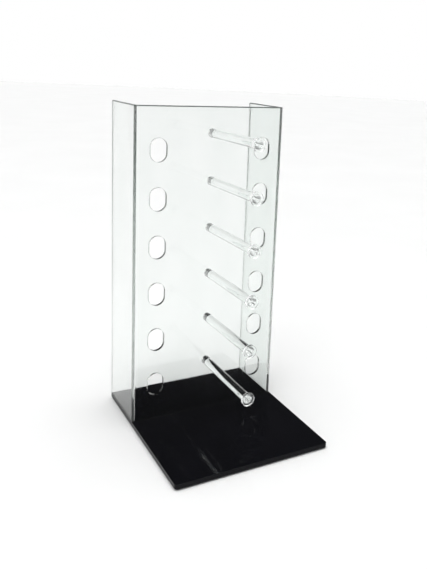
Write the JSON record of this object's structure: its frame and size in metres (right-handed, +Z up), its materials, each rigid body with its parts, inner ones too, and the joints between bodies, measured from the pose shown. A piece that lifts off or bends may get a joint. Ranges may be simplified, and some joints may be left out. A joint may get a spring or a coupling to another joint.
{
  "type": "eyeglass display rack",
  "caption": "Countertop display rack for glasses: a clear bent upright with temple slots and disc-ended nose rods on a glossy black base.",
  "frame": {"origin": "on the counter, under the centre of the base plate", "axes": "+Z up, +Y towards the back, +X to the right as a customer facing the display side sees it; the rods point along -Y"},
  "size_m": [0.2, 0.235, 0.4075],
  "materials": {
    "black_acrylic": "polished cast sheet, glossy",
    "clear_sheet": "clear polished cast sheet with polished edges",
    "clear_rod": "clear extruded rod and turned discs, polished",
    "clear_bumper": "soft clear bumper, satin"
  },
  "bodies": {
    "root": {"base_plate": "black_acrylic", "upright_sheet": "clear_sheet", "nose_rod_1": "clear_rod", "nose_rod_2": "clear_rod", "nose_rod_3": "clear_rod", "nose_rod_4": "clear_rod", "nose_rod_5": "clear_rod", "nose_rod_6": "clear_rod", "stop_disc_1": "clear_rod", "stop_disc_2": "clear_rod", "stop_disc_3": "clear_rod", "stop_disc_4": "clear_rod", "stop_disc_5": "clear_rod", "stop_disc_6": "clear_rod", "foot_front_left": "clear_bumper", "foot_front_right": "clear_bumper", "foot_back_left": "clear_bumper", "foot_back_right": "clear_bumper"}
  },
  "joints": []
}
